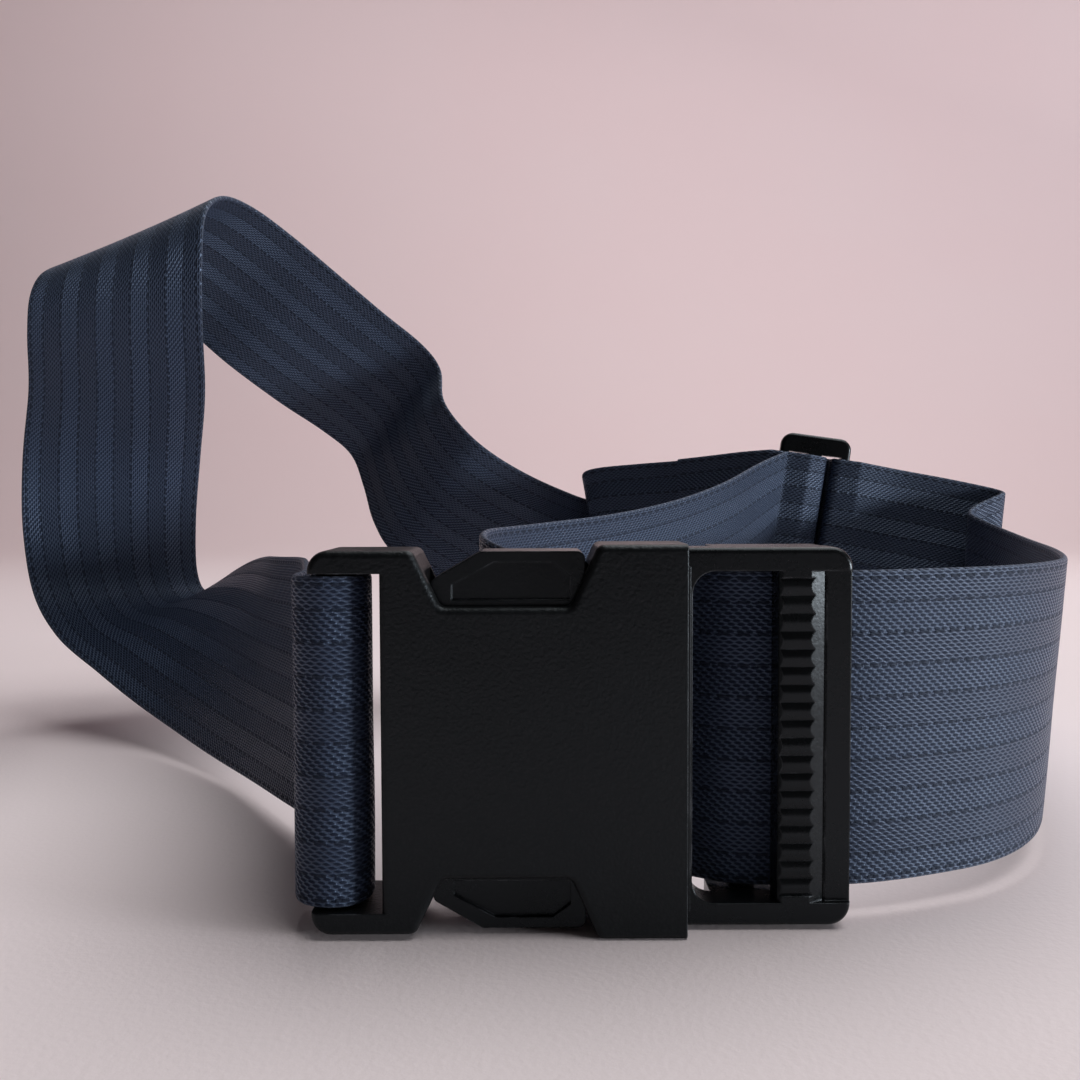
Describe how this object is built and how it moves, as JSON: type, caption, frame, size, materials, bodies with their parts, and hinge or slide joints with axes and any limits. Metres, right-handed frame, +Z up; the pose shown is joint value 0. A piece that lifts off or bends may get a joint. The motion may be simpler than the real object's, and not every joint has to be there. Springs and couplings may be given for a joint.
{
  "type": "luggage strap",
  "caption": "Adjustable webbing luggage strap with a side-release buckle and a slide adjuster, standing on the buckle's edge with its webbing looped behind.",
  "frame": {"origin": "centre of the strap's outline as it stands, on the surface under the buckle's long edge", "axes": "+X from the buckle's receptacle to its plug, +Y from the buckle's front face to the webbing behind it, +Z up"},
  "size_m": [0.2856, 0.2036, 0.1493],
  "materials": {
    "plastic": "matte, fine grained",
    "webbing": "woven polyester, slightly shiny",
    "thread": "sewing thread"
  },
  "bodies": {
    "plug_and_webbing": {"plug_frame": "plastic", "webbing_rise": "webbing", "webbing_upright": "webbing", "webbing_crown": "webbing", "webbing_fall": "webbing", "webbing_crease": "webbing", "webbing_approach": "webbing", "webbing_left_fold": "webbing", "webbing_left_run": "webbing", "webbing_in_glide": "webbing", "webbing_right_run": "webbing", "webbing_right_fold": "webbing", "webbing_right_bend": "webbing", "webbing_lock_run": "webbing", "webbing_return_bend": "webbing", "webbing_return_run": "webbing", "webbing_end_loop": "webbing", "webbing_cut_end": "webbing"},
    "receptacle": {"receptacle": "plastic", "webbing_sewn_tail": "webbing", "webbing_bar_wrap": "webbing", "webbing_sewn_lead": "webbing", "loop_stitching": "thread"},
    "release_arm_upper": {"release_arm_upper": "plastic"},
    "release_arm_lower": {"release_arm_lower": "plastic"},
    "tri_glide": {"tri_glide": "plastic"}
  },
  "joints": [
    {"name": "receptacle_slide", "type": "slide", "parent": "plug_and_webbing", "child": "receptacle", "axis": [-1, 0, 0], "range_m": [0, 0.045], "deforming": ["webbing_rise", "release_arm_upper", "release_arm_lower"]},
    {"name": "release_arm_upper_press", "type": "hinge", "parent": "plug_and_webbing", "child": "release_arm_upper", "pos_m": [0.02094, -0.09533, 0.0465], "axis": [0, -1, 0], "range_deg": [0, 16], "stiffness_Nm_per_rad": 0.3},
    {"name": "release_arm_lower_press", "type": "hinge", "parent": "plug_and_webbing", "child": "release_arm_lower", "pos_m": [0.02094, -0.09533, 0.0115], "axis": [0, 1, 0], "range_deg": [0, 16], "stiffness_Nm_per_rad": 0.3},
    {"name": "tri_glide_slide", "type": "slide", "parent": "plug_and_webbing", "child": "tri_glide", "axis": [0.9794, -0.1376, -0.1478], "range_m": [-0.006, 0.008], "deforming": ["webbing_left_run", "webbing_in_glide", "webbing_right_run", "webbing_end_loop", "webbing_cut_end"]}
  ]
}
